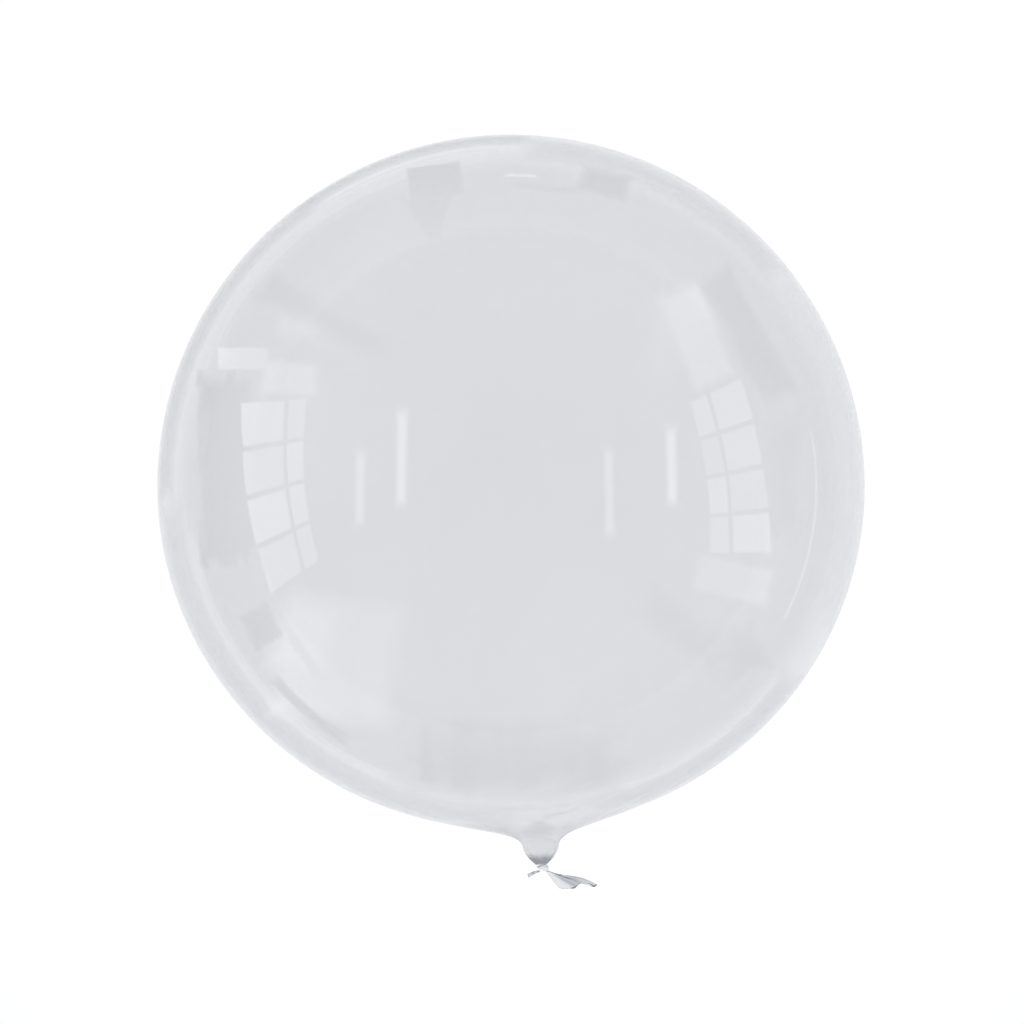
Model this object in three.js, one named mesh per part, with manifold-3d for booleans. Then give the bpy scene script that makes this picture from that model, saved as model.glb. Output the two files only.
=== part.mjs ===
// Clear bubble balloon, lying on its side.
// It is one sheet of clear film: a ball blown up tight, a short neck that is gathered and knotted in itself,
// and the cut end of the neck beyond the knot, as a fanned flap on one side and a small rolled lip on the other.
// The ball is sealed, so it is solid here. +Y runs from the ball's middle to its crown, and -Y to its neck.
// +Z is up, and the origin is the middle of the flat spot that the balloon lies on.

import * as THREE from "three";
import { mergeVertices } from "three/addons/utils/BufferGeometryUtils.js";
import Module from "manifold-3d";

const { degToRad, lerp, smoothstep } = THREE.MathUtils;

// The ball: a true half ball above its widest ring, and a slightly flatter base below it.
const ballWidth = 508;
const crownHeight = 253;
const baseDepth = 246;

// The flat spot on its side.
const restWidth = 52;

// The neck: the film draws down over a skirt into a small round bulb, and is pinched shut below it.
// It sits off the middle of the base, and the base's rings slide over to it within a share of the ball's radius.
const neckOffset = 21.5;
const slideShare = 0.6;
const neckWidth = 26;
const skirtReach = 72;
const skirtDrop = 13.5;
const skirtBend = 4;
const skirtFoot = 1;
const bulbLength = 13;
const bulbTaper = 1.6;
const pinchWidth = 7.4;

// The gathers that run down the bulb into the pinch.
const pleatCount = 9;
const pleatDepth = 1.3;

// The knot: two turns of the twisted neck, one on the other, a little to the side of the pinch.
const knotShift = 1.5;
const knotWidth = 8.4;
const strandWidth = 3.2;
const turnPitch = 1.8;
const turnTilt = degToRad(14);

// The flap: a fan of folded film, from its straight steep edge to its wavy flat edge, which ends in the tip.
const foldThickness = 0.8;
const steepLength = 33;
const steepAngle = degToRad(53);
const tipLength = 40.8;
const tipAngle = degToRad(17.7);
const sinkPlace = 0.36;
const waveSink = 1;
const risePlace = 0.6;
const waveRise = 0.3;

// The fan is cut off at a slant, and only its flat edge runs on to the tip.
const cutStart = 0.55;
const cutEnd = 0.8;
const cutWidth = 0.5;
const tipStart = 0.75;
const tipEnd = 0.92;

// The standing folds that run from the knot to the cut.
const foldHeight = 3.4;
const foldCount = 1.5;
const foldGrowth = 1.5;

// The lip: the other corner of the cut end, rolled into a narrow gutter.
const lipLength = 11.5;
const lipDrop = 1.7;
const lipWidth = 2.6;
const lipRootShare = 0.4;
const lipRoll = degToRad(150);
const lipAngle = degToRad(22);

// How finely the round shapes are divided.
const sidesAround = 64;
const crownSteps = 16;
const baseSteps = 13;
const skirtSteps = 9;
const bulbSteps = 6;
const turnSides = 20;
const strandSides = 8;
const flapSteps = [8, 16];
const lipSteps = [6, 5];

const ballRadius = ballWidth / 2;
const neckRadius = neckWidth / 2;
const pinchRadius = pinchWidth / 2;
const restHeight = Math.sqrt(ballRadius ** 2 - (restWidth / 2) ** 2);
const bulbDepth = baseDepth + skirtDrop;
const pinchDepth = bulbDepth + bulbLength;
const knotDepth = pinchDepth + turnPitch / 2;
const knot = new THREE.Vector3(neckOffset + knotShift, -knotDepth, 0);

const wasm = await Module();
wasm.setup();

// A closed geometry becomes a solid that can be joined and cut.
function solidFrom(geometry) {
  const bare = geometry.clone();
  bare.deleteAttribute("normal");
  bare.deleteAttribute("uv");
  const merged = mergeVertices(bare);
  const faces = [];
  const corners = merged.index.array;
  for (let first = 0; first < corners.length; first += 3) {
    const face = corners.slice(first, first + 3);
    if (new Set(face).size === 3) {
      faces.push(...face);
    }
  }
  return new wasm.Manifold(new wasm.Mesh({
    numProp: 3,
    vertProperties: new Float32Array(merged.attributes.position.array),
    triVerts: new Uint32Array(faces),
  }));
}

// A solid becomes a geometry again.
function geometryFrom(solid) {
  const mesh = solid.getMesh();
  const geometry = new THREE.BufferGeometry();
  geometry.setAttribute("position", new THREE.BufferAttribute(mesh.vertProperties, 3));
  geometry.setIndex(new THREE.BufferAttribute(mesh.triVerts, 1));
  geometry.computeVertexNormals();
  return geometry;
}

// How deep the ball's flatter base lies below the widest ring, at a distance from the ball's axis.
function depthOfBase(distance) {
  return baseDepth * Math.sqrt(1 - (distance / ballRadius) ** 2);
}

// The ball's profile around its axis, from the pinch up to the crown.
function ballProfile() {
  const points = [new THREE.Vector2(0, -pinchDepth)];
  for (let step = 0; step < bulbSteps; step += 1) {
    const down = 1 - step / bulbSteps;
    const out = lerp(neckRadius, pinchRadius, down ** bulbTaper);
    points.push(new THREE.Vector2(out, -(bulbDepth + bulbLength * down)));
  }
  const skirt = new THREE.CubicBezierCurve(
    new THREE.Vector2(neckRadius, skirtDrop),
    new THREE.Vector2(neckRadius, skirtBend),
    new THREE.Vector2(skirtReach / 2, skirtFoot),
    new THREE.Vector2(skirtReach, 0),
  );
  for (const point of skirt.getPoints(skirtSteps)) {
    points.push(new THREE.Vector2(point.x, -(depthOfBase(point.x) + point.y)));
  }
  const skirtEdge = Math.asin(skirtReach / ballRadius);
  for (let step = 1; step <= baseSteps; step += 1) {
    const turn = lerp(skirtEdge, Math.PI / 2, step / baseSteps);
    points.push(new THREE.Vector2(ballRadius * Math.sin(turn), -baseDepth * Math.cos(turn)));
  }
  for (let step = 1; step < crownSteps; step += 1) {
    const turn = (Math.PI / 2) * (step / crownSteps);
    points.push(new THREE.Vector2(ballRadius * Math.cos(turn), crownHeight * Math.sin(turn)));
  }
  points.push(new THREE.Vector2(0, crownHeight));
  return points;
}

// The ball and its neck. The rings near the neck slide sideways with it, and stay on the base's surface.
function makeBall() {
  const lathe = new THREE.LatheGeometry(ballProfile(), sidesAround);
  const place = lathe.attributes.position;
  const slideEnd = ballRadius * slideShare;
  for (let index = 0; index < place.count; index += 1) {
    const [x, y, z] = [place.getX(index), place.getY(index), place.getZ(index)];
    const out = Math.hypot(x, z);
    if (y < 0 && out < slideEnd) {
      const downBulb = Math.min(1, Math.max(0, (-y - bulbDepth) / bulbLength));
      const gather = Math.sin((pleatCount / 2) * Math.atan2(z, x)) ** 2 * Math.sin(Math.PI * downBulb);
      const shrink = out > 0 ? 1 - (pleatDepth * gather) / out : 1;
      const newX = x * shrink + neckOffset * (1 - smoothstep(out, skirtReach, slideEnd));
      const newZ = z * shrink;
      const lift = depthOfBase(out) - depthOfBase(Math.hypot(newX, newZ));
      place.setXYZ(index, newX, y + lift * (1 - downBulb), newZ);
    }
  }
  return solidFrom(lathe);
}

// The knot: two tilted turns of the twisted neck, and the strand through their middle.
function makeKnot() {
  const strandRadius = strandWidth / 2;
  const turns = [-1, 1].map((side) => {
    const turn = new THREE.TorusGeometry(knotWidth / 2 - strandRadius, strandRadius, strandSides, turnSides);
    turn.rotateX(Math.PI / 2);
    turn.rotateZ(side * turnTilt);
    turn.translate(knot.x, knot.y + (side * turnPitch) / 2, knot.z);
    return solidFrom(turn);
  });
  const coreRadius = knotWidth / 2 - strandRadius / 4;
  const strand = new THREE.SphereGeometry(coreRadius, turnSides, strandSides);
  strand.scale(1, (turnPitch + strandWidth) / 2 / coreRadius, 1);
  strand.translate(knot.x, knot.y, knot.z);
  return turns.reduce((joined, turn) => joined.add(turn), solidFrom(strand));
}

// A sheet of folded film with a real thickness, from a function of two shares that gives its middle surface.
function makeSheet(middle, [longSteps, crossSteps], thickness) {
  const small = 0.001;
  const position = [];
  for (const side of [1, -1]) {
    for (let row = 0; row <= longSteps; row += 1) {
      for (let column = 0; column <= crossSteps; column += 1) {
        const [along, across] = [row / longSteps, column / crossSteps];
        const lengthwise = middle(along + small, across).sub(middle(along - small, across));
        const crosswise = middle(along, across + small).sub(middle(along, across - small));
        const outward = lengthwise.cross(crosswise).normalize();
        position.push(...middle(along, across).addScaledVector(outward, (side * thickness) / 2));
      }
    }
  }
  const width = crossSteps + 1;
  const layer = (longSteps + 1) * width;
  const faces = [];
  for (let row = 0; row < longSteps; row += 1) {
    for (let column = 0; column < crossSteps; column += 1) {
      const corner = row * width + column;
      const [a, b, c, d] = [corner, corner + width, corner + width + 1, corner + 1];
      faces.push(a, b, c, a, c, d);
      faces.push(a + layer, c + layer, b + layer, a + layer, d + layer, c + layer);
    }
  }
  const rim = [];
  for (let row = 0; row < longSteps; row += 1) {
    rim.push(row * width);
  }
  for (let column = 0; column < crossSteps; column += 1) {
    rim.push(longSteps * width + column);
  }
  for (let row = longSteps; row > 0; row -= 1) {
    rim.push(row * width + crossSteps);
  }
  for (let column = crossSteps; column > 0; column -= 1) {
    rim.push(column);
  }
  rim.forEach((start, index) => {
    const next = rim[(index + 1) % rim.length];
    faces.push(start, start + layer, next, next, start + layer, next + layer);
  });
  const geometry = new THREE.BufferGeometry();
  geometry.setAttribute("position", new THREE.Float32BufferAttribute(position, 3));
  geometry.setIndex(faces);
  return solidFrom(geometry);
}

// The flap fans out from the knot in standing folds, with a slanting cut end and one long tip.
function makeFlap() {
  const tip = new THREE.Vector3(tipLength * Math.cos(tipAngle), -tipLength * Math.sin(tipAngle), 0);
  const flatEdge = new THREE.CubicBezierCurve3(
    new THREE.Vector3(),
    new THREE.Vector3(tip.x * sinkPlace, tip.y * sinkPlace * (1 + waveSink), 0),
    new THREE.Vector3(tip.x * risePlace, tip.y * risePlace * waveRise, 0),
    tip,
  );
  const corner = new THREE.Vector3(steepLength * Math.cos(steepAngle), -steepLength * Math.sin(steepAngle), 0);
  const rootShare = knotWidth / 4 / tipLength;
  const middle = (along, across) => {
    const cutShare = lerp(cutStart, cutEnd, Math.min(1, across / cutWidth));
    const share = lerp(cutShare, 1, smoothstep(across, tipStart, tipEnd));
    const reach = lerp(rootShare, share, along);
    const point = corner.clone().multiplyScalar(reach).lerp(flatEdge.getPoint(Math.min(1, reach)), across);
    point.z = foldHeight * reach ** foldGrowth * Math.sin(2 * Math.PI * foldCount * across);
    return point.add(knot);
  };
  return makeSheet(middle, flapSteps, foldThickness);
}

// The lip curls round its own length, and stands out on the other side of the knot.
function makeLip() {
  const rollRadius = lipWidth / lipRoll;
  const middle = (along, across) => {
    const roll = lipRoll * (across - 0.5);
    const out = lipLength * along;
    const rise = rollRadius * Math.sin(roll) * lerp(lipRootShare, 1, along);
    return new THREE.Vector3(
      knot.x - out * Math.cos(lipAngle) - rise * Math.sin(lipAngle),
      knot.y - lipDrop - out * Math.sin(lipAngle) + rise * Math.cos(lipAngle),
      knot.z + rollRadius * (Math.cos(roll) - 0.5),
    );
  };
  return makeSheet(middle, lipSteps, foldThickness);
}

// Everything below the flat spot's height, which is cut away.
function makeFloorCut() {
  const size = ballWidth * 2;
  const block = new THREE.BoxGeometry(size, size, size);
  block.translate(0, 0, -restHeight - size / 2);
  return solidFrom(block);
}

const film = makeBall().add(makeKnot()).add(makeFlap()).add(makeLip()).subtract(makeFloorCut());

const clearFilm = new THREE.MeshStandardMaterial({
  color: 0xdde0e6,
  roughness: 0.06,
  metalness: 0,
  transparent: true,
  opacity: 0.35,
});

const balloonFilm = new THREE.Mesh(geometryFrom(film), clearFilm);
balloonFilm.name = "balloon_film";
balloonFilm.position.z = restHeight;

const balloon = new THREE.Group();
balloon.add(balloonFilm);

export default balloon;
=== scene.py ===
# %% [markdown]
# A clear bubble balloon is one sheet of see-through plastic film, blown up until it is as round as a ball.
# Its short neck is gathered, twisted and knotted in itself, and the cut end of the neck fans out beyond the
# knot. It can't stand up, so it lies on its side, and we look straight down on it: its crown is at the top of
# the picture and its neck at the bottom. This notebook makes the film, its finish, and a plain pale studio
# round it.

# %% Load the fixed frame and keep its box
import math

import bmesh
import bpy
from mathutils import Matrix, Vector, noise


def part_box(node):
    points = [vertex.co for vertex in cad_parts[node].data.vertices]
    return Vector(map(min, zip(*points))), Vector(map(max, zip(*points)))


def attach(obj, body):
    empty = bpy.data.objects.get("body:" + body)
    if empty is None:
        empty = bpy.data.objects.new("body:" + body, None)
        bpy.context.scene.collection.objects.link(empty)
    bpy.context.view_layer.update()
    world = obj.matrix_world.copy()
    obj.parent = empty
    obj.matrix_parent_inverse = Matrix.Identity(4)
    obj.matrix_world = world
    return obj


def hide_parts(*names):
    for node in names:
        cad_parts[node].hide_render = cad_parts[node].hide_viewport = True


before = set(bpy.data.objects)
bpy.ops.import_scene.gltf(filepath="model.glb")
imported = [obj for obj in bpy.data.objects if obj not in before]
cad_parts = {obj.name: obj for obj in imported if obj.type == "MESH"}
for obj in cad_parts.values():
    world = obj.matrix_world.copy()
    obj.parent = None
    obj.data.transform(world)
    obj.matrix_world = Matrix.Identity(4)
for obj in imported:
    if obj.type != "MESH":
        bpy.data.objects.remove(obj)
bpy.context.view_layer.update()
low, high = (Vector(corner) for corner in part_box("balloon_film"))
print("film node runs from", [round(v, 4) for v in low], "to", [round(v, 4) for v in high])

# %% [markdown]
# The ball's own sizes come from that box, so the film can't end up bigger or smaller than the model that
# was packed. The box is as wide as the ball, its far side is the crown, and its top is one ball radius above
# the ball's middle. The neck is too small for the box to tell, so its sizes are written here, in metres.

# %% The ball's sizes from the box, and the neck's own
BALL_RADIUS = (high.x - low.x) / 2
CROWN_HEIGHT = high.y
MIDDLE_HEIGHT = high.z - BALL_RADIUS
BASE_DEPTH = 0.246

NECK_OFFSET = 0.0215
NECK_RADIUS = 0.013
SKIRT_REACH = 0.072
SKIRT_DROP = 0.0135
BULB_LENGTH = 0.013
PINCH_RADIUS = 0.0037
KNOT_SHIFT = 0.0015
TURN_PITCH = 0.0018

PINCH_DEPTH = BASE_DEPTH + SKIRT_DROP + BULB_LENGTH
KNOT = Vector((NECK_OFFSET + KNOT_SHIFT, -PINCH_DEPTH - TURN_PITCH / 2, MIDDLE_HEIGHT))
print(f"ball radius {BALL_RADIUS:.4f}, middle {MIDDLE_HEIGHT:.4f} above the floor, knot at {tuple(KNOT)}")

# %% [markdown]
# The camera looks straight down from five metres, with a long lens, so that the neck isn't drawn any smaller
# than the ball. The lens is worked out from one measure in the photograph: the ball's edge is 354 pixels
# from its middle. The ball's middle is slightly above the picture's middle there, so the camera stands a
# little towards the neck, and no lens shift is needed.

# %% Camera straight above
CAMERA_DISTANCE = 5.0
SENSOR = 36.0
HALF_PICTURE = 512
EDGE_PIXELS = 354
MIDDLE_PIXEL = Vector((511, 487))

picture_slope = math.tan(math.asin(BALL_RADIUS / CAMERA_DISTANCE)) / EDGE_PIXELS
metres_a_pixel = CAMERA_DISTANCE * picture_slope
camera_data = bpy.data.cameras.new("camera")
camera_data.sensor_width = SENSOR
camera_data.lens = SENSOR / 2 / (picture_slope * HALF_PICTURE)
camera = bpy.data.objects.new("camera", camera_data)
camera.location = (
    (HALF_PICTURE - MIDDLE_PIXEL.x) * metres_a_pixel,
    (MIDDLE_PIXEL.y - HALF_PICTURE) * metres_a_pixel,
    MIDDLE_HEIGHT + CAMERA_DISTANCE,
)
bpy.context.scene.collection.objects.link(camera)
bpy.context.scene.camera = camera
print(f"lens {camera_data.lens:.1f} mm, {metres_a_pixel * 1000:.4f} mm a pixel at the ball's middle")

# %% [markdown]
# Node trees are easier to read as sums than as boxes and wires. This small class holds one socket of a tree.
# Adding, multiplying or powering two of them adds the Math node that does it, in a material and in a
# Geometry Nodes tree alike. Every other node comes from one function: its settings first, and then its
# sockets.

# %% Sockets that can be added and multiplied
def feed(tree, socket, value):
    """Link a socket to another one, or set its own value."""
    if isinstance(value, Field):
        value = value.socket
    if isinstance(value, bpy.types.NodeSocket):
        tree.links.new(value, socket)
    else:
        socket.default_value = value


def add_node(tree, kind, settings=None, values=None):
    """Add a node of a kind, with its settings first and the values or links of its sockets after them."""
    node = tree.nodes.new(kind)
    for name, setting in (settings or {}).items():
        setattr(node, name, setting)
    for name, value in (values or {}).items():
        feed(tree, node.inputs[name], value)
    return node


def combine(operation, *terms):
    """One Math node on one, two or three terms, of which one at least is a Field."""
    tree = next(term.socket.id_data for term in terms if isinstance(term, Field))
    node = add_node(tree, "ShaderNodeMath", {"operation": operation}, dict(enumerate(terms)))
    return Field(node.outputs[0])


class Field:
    """A number that changes from place to place."""

    def __init__(self, socket):
        self.socket = socket

    def __add__(self, other):
        return combine("ADD", self, other)

    __radd__ = __add__

    def __sub__(self, other):
        return combine("SUBTRACT", self, other)

    def __rsub__(self, other):
        return combine("SUBTRACT", other, self)

    def __mul__(self, other):
        return combine("MULTIPLY", self, other)

    __rmul__ = __mul__

    def __truediv__(self, other):
        return combine("DIVIDE", self, other)

    def __pow__(self, other):
        return combine("POWER", self, other)

    def __neg__(self):
        return combine("MULTIPLY", self, -1.0)

    def sin(self):
        return combine("SINE", self)

    def cos(self):
        return combine("COSINE", self)

    def root(self):
        return combine("SQRT", self)

    def at_least(self, other):
        return combine("MAXIMUM", self, other)

    def at_most(self, other):
        return combine("MINIMUM", self, other)

    def ease(self, start, end):
        """From 0 at the start to 1 at the end, with a gentle step between them."""
        settings = {"interpolation_type": "SMOOTHSTEP"}
        values = {"Value": self, "From Min": start, "From Max": end}
        node = add_node(self.socket.id_data, "ShaderNodeMapRange", settings, values)
        return Field(node.outputs["Result"])


def split(tree, vector):
    """The x, y and z of a vector, as three fields."""
    parts = add_node(tree, "ShaderNodeSeparateXYZ", None, {0: vector})
    return tuple(Field(parts.outputs[axis]) for axis in "XYZ")


def noise_field(tree, vector, scale, detail, roughness=0.5, distortion=0.0):
    """A soft random field, around one half."""
    values = {"Vector": vector, "Scale": scale, "Detail": detail}
    values.update({"Roughness": roughness, "Distortion": distortion})
    return Field(add_node(tree, "ShaderNodeTexNoise", {"noise_dimensions": "3D"}, values).outputs["Fac"])


def mesh_value(tree, name):
    """A value that the mesh carries from point to point."""
    return Field(add_node(tree, "ShaderNodeAttribute", {"attribute_name": name}).outputs["Fac"])


print("terms can be combined by", [name for name in dir(Field) if not name.startswith("__")])

# %% [markdown]
# The film's surface follows a rule, so a Geometry Nodes tree makes it. A flat grid is wrapped round the axis,
# ring by ring, in zones that meet edge to edge: the round crown, the slightly flatter base, the skirt where
# the film draws down to the neck, and the gathered bulb, with a short throat that closes to a point inside
# the knot. Each zone needs only two sums: how far a ring is from the axis, and how deep it lies.

# %% Helpers for a Geometry Nodes tree
def new_tree(name, sizes):
    """A tree with a named input for each size and for the material."""
    tree = bpy.data.node_groups.new(name, "GeometryNodeTree")
    for title in sizes:
        tree.interface.new_socket(title, in_out="INPUT", socket_type="NodeSocketFloat")
    tree.interface.new_socket("Material", in_out="INPUT", socket_type="NodeSocketMaterial")
    tree.interface.new_socket("Mesh", in_out="OUTPUT", socket_type="NodeSocketGeometry")
    start = tree.nodes.new("NodeGroupInput")
    return tree, {title: Field(start.outputs[title]) for title in sizes}, start.outputs["Material"]


def place_points(tree, mesh, x, y, z):
    """Put every point of a mesh at x, y and z."""
    place = add_node(tree, "ShaderNodeCombineXYZ", None, {"X": x, "Y": y, "Z": z})
    values = {"Geometry": mesh, "Position": place.outputs[0]}
    return add_node(tree, "GeometryNodeSetPosition", None, values).outputs[0]


def point_place(tree):
    """Where each point of the mesh is."""
    return add_node(tree, "GeometryNodeInputPosition").outputs[0]


def keep_value(tree, mesh, name, value):
    """Store a value on every point of a mesh."""
    settings = {"data_type": "FLOAT", "domain": "POINT"}
    values = {"Geometry": mesh, "Name": name, "Value": value}
    return add_node(tree, "GeometryNodeStoreNamedAttribute", settings, values).outputs[0]


def finish_tree(tree, mesh, material):
    """End a tree: real geometry, smooth faces and the material."""
    real = add_node(tree, "GeometryNodeRealizeInstances", None, {"Geometry": mesh})
    smooth = add_node(tree, "GeometryNodeSetShadeSmooth", None, {"Geometry": real.outputs[0]})
    values = {"Geometry": smooth.outputs[0], "Material": material}
    dressed = add_node(tree, "GeometryNodeSetMaterial", None, values)
    add_node(tree, "NodeGroupOutput", None, {0: dressed.outputs[0]})


def run_tree(tree, name, sizes, material):
    """Run a tree on an empty object, and keep its result as a plain mesh."""
    holder = bpy.data.objects.new(name, bpy.data.meshes.new(name))
    bpy.context.scene.collection.objects.link(holder)
    modifier = holder.modifiers.new("shape", "NODES")
    modifier.node_group = tree
    values = dict(sizes, Material=material)
    for item in tree.interface.items_tree:
        if item.in_out == "INPUT":
            modifier[item.identifier] = values[item.name]
    evaluated = holder.evaluated_get(bpy.context.evaluated_depsgraph_get())
    mesh = bpy.data.meshes.new_from_object(evaluated)
    bpy.data.objects.remove(holder)
    print(f"{name}: {len(mesh.vertices)} points, {len(mesh.polygons)} faces")
    return mesh


# %% [markdown]
# The finish comes before the shape, because the tree hands it out. Clear film is a glass-like shader with
# plain values: full transmission and one index of refraction. Film is never quite even, so its cool tint
# drifts a little over the ball, in broad clouds, with faint streaks that run out from the neck. Three values
# that the mesh carries say more. The gather value darkens the tint where the film lies in many layers, and it
# also holds painted shade: along the flap's standing folds, on one side of the bulb and in creases. Pale
# lightens the tint of the knot, the tail and the bulb's end; on the flap's broad panel that lighter tint is a
# painted highlight. Wrung is high on the knot's strand, where crumpled film scatters the light and looks
# milky. All film near the neck is also less glossy, because of its fine creases.

# %% Clear film
FILM_TINT = (0.827, 0.831, 0.841, 1.0)
CLOUDY_TINT = (0.842, 0.846, 0.855, 1.0)
# Lighter tint of the knot, the tail and the bulb's end; on the flap's broad panel it is a painted highlight.
PALE_AND_HIGHLIGHT_TINT = (0.985, 0.986, 0.99, 1.0)
# Darker tint for film in many layers, also used as painted shade.
GATHERED_AND_SHADED_TINT = (0.50, 0.515, 0.54, 1.0)
FILM_INDEX = 1.45
CREASED_ROUGHNESS = 0.09
CREASE_REACH = 0.13
STREAK_DEPTH = 0.05
WRUNG_TINT = (0.93, 0.935, 0.945, 1.0)
WRUNG_ROUGHNESS = 0.6
SMALLEST_DISTANCE = 1e-4
SPOKE_STRETCH = 2.0


def mix_colours(tree, factor, first, second):
    """Blend two colours by a factor."""
    node = add_node(tree, "ShaderNodeMix", {"data_type": "RGBA"}, {0: factor, 6: first, 7: second})
    return node.outputs[2]


def neck_spokes(tree, place, neck_x, neck_z):
    """A place's y, its distance from the neck's axis, and a vector that changes little along a spoke."""
    x, y, z = split(tree, place)
    across = x - neck_x
    upward = z - neck_z
    distance = (across ** 2.0 + upward ** 2.0).root().at_least(SMALLEST_DISTANCE)
    values = {"X": across / distance, "Y": upward / distance, "Z": distance * SPOKE_STRETCH}
    return y, distance, add_node(tree, "ShaderNodeCombineXYZ", None, values).outputs[0]


def make_film_material():
    """See-through plastic film."""
    material = bpy.data.materials.new("clear_film")
    material.use_nodes = True
    tree = material.node_tree
    shader = tree.nodes["Principled BSDF"]
    shader.inputs["Transmission Weight"].default_value = 1.0
    shader.inputs["IOR"].default_value = FILM_INDEX
    place = add_node(tree, "ShaderNodeTexCoord").outputs["Object"]
    y, distance, spoke = neck_spokes(tree, place, NECK_OFFSET, MIDDLE_HEIGHT)
    near_neck = 1.0 - (distance + 0.5 * (y + BASE_DEPTH)).ease(0.0, CREASE_REACH)

    clouds = noise_field(tree, place, scale=5.0, detail=3.0, roughness=0.55, distortion=0.6).ease(0.35, 0.65)
    streaks = noise_field(tree, spoke, scale=22.0, detail=2.0).ease(0.3, 0.7) * near_neck
    # The gather value holds layered film and painted shade; the streaks are the film's own unevenness.
    dark = (mesh_value(tree, "gather_and_shade") + streaks * STREAK_DEPTH).at_most(1.0)
    tint = mix_colours(tree, clouds, FILM_TINT, CLOUDY_TINT)
    # The pale tint paints the flap panel's highlight, and lightens the knot and the bulb's end.
    tint = mix_colours(tree, mesh_value(tree, "pale"), tint, PALE_AND_HIGHLIGHT_TINT)
    tint = mix_colours(tree, dark, tint, GATHERED_AND_SHADED_TINT)
    feed(tree, shader.inputs["Base Color"], tint)
    feed(tree, shader.inputs["Roughness"], near_neck.ease(0.0, 1.0) * CREASED_ROUGHNESS)

    values = {"Base Color": WRUNG_TINT, "Roughness": WRUNG_ROUGHNESS}
    milky = add_node(tree, "ShaderNodeBsdfPrincipled", None, values)
    values = {0: mesh_value(tree, "wrung"), 1: shader.outputs[0], 2: milky.outputs[0]}
    mixed = add_node(tree, "ShaderNodeMixShader", None, values)
    feed(tree, tree.nodes["Material Output"].inputs["Surface"], mixed.outputs[0])
    return material


film_finish = make_film_material()
print("finish", film_finish.name, "with", len(film_finish.node_tree.nodes), "nodes")

# %% [markdown]
# Now the ball itself. Near the neck the rings slide sideways, because the neck sits off the middle, and they
# stay on the base's surface as they go. Fine gathers run out from the neck and fade over the base, and the
# whole film has a very slight wave, so that reflections wander as they do on real film. Where the ball
# rests, the film is pressed flat.

# %% The ball's sizes and counts
BALL_SIDES = 192
CROWN_RINGS = 56
BASE_RINGS = 60
SKIRT_RINGS = 36
BULB_RINGS = 32
THROAT_RINGS = 5
WELD_DISTANCE = 1e-6

ball_sizes = {
    "Ball Radius": BALL_RADIUS,
    "Crown Height": CROWN_HEIGHT,
    "Base Depth": BASE_DEPTH,
    "Middle Height": MIDDLE_HEIGHT,
    "Neck Offset": NECK_OFFSET,
    "Neck Radius": NECK_RADIUS,
    "Skirt Reach": SKIRT_REACH,
    "Skirt Drop": SKIRT_DROP,
    "Skirt Bend": 0.004,
    "Skirt Foot": 0.001,
    "Slide Reach": 0.6 * BALL_RADIUS,
    "Pinch Depth": PINCH_DEPTH,
    "Bulb Taper": 1.7,
    "Bulb Share": 0.93,
    "Pinch Radius": PINCH_RADIUS,
    "Throat Share": 0.6,
    "Pleat Count": 9.0,
    "Pleat Depth": 0.0014,
    "Pleat Sway": 0.7,
    "Pleat Sharpness": 0.6,
    "Gather Slope": 0.006,
    "Wave Height": 0.0004,
}

# Where down the bulb the film gets dark, and where it goes over into the pale knot, as shares of its length.
# The dark is partly gathered film and partly painted shade, which the lean tips to one side of the bulb.
DARK_RANGE = (0.5, 1.0)
PAINTED_SHADE_LEAN = 0.3
KNOT_RANGE = (0.84, 0.95)

# Between which depths and distances from the neck the rings begin to slide and the gathers come and go.
SLIDE_DEPTHS = (-0.6 * BASE_DEPTH, -0.5 * BASE_DEPTH)
GATHER_DEPTHS = (-0.9 * BASE_DEPTH, -0.45 * BASE_DEPTH)
GATHERS_COME = (0.5 * NECK_RADIUS, 2.0 * NECK_RADIUS)
GATHERS_GO = (SKIRT_REACH, 2.2 * SKIRT_REACH)


# %% How far from the axis and how deep each zone's rings lie
def depth_of_base(size, out):
    """How deep the base lies at a distance from the ball's axis."""
    return size["Base Depth"] * (1.0 - (out / size["Ball Radius"]) ** 2.0).at_least(0.0).root()


def crown_ring(size, share):
    """From the ball's widest ring to the crown."""
    turn = share * (math.pi / 2)
    return size["Ball Radius"] * turn.cos(), -(size["Crown Height"] * turn.sin())


def base_ring(size, share):
    """From the skirt's edge to the ball's widest ring."""
    skirt_edge = combine("ARCSINE", size["Skirt Reach"] / size["Ball Radius"])
    turn = skirt_edge + (math.pi / 2 - skirt_edge) * share
    return size["Ball Radius"] * turn.sin(), size["Base Depth"] * turn.cos()


def skirt_ring(size, share):
    """From the bulb to the skirt's edge, on one bent curve that ends flush with the base."""
    rest = 1.0 - share
    bends = [rest ** 3.0, 3.0 * rest ** 2.0 * share, 3.0 * rest * share ** 2.0, share ** 3.0]
    neck_part = size["Neck Radius"] * (bends[0] + bends[1])
    out = neck_part + size["Skirt Reach"] * (bends[2] * 0.5 + bends[3])
    drop_part = size["Skirt Drop"] * bends[0] + size["Skirt Bend"] * bends[1]
    return out, depth_of_base(size, out) + (drop_part + size["Skirt Foot"] * bends[2])


def bulb_start(size):
    """How deep the bulb begins, and how long it is."""
    start = depth_of_base(size, size["Neck Radius"]) + size["Skirt Drop"]
    return start, size["Pinch Depth"] - start


def bulb_ring(size, share):
    """From the pinch to the bulb's wide end."""
    start, length = bulb_start(size)
    down = 1.0 - share
    closed = (down / size["Bulb Share"]).at_most(1.0) ** size["Bulb Taper"]
    return size["Neck Radius"] + (size["Pinch Radius"] - size["Neck Radius"]) * closed, start + length * down


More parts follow.
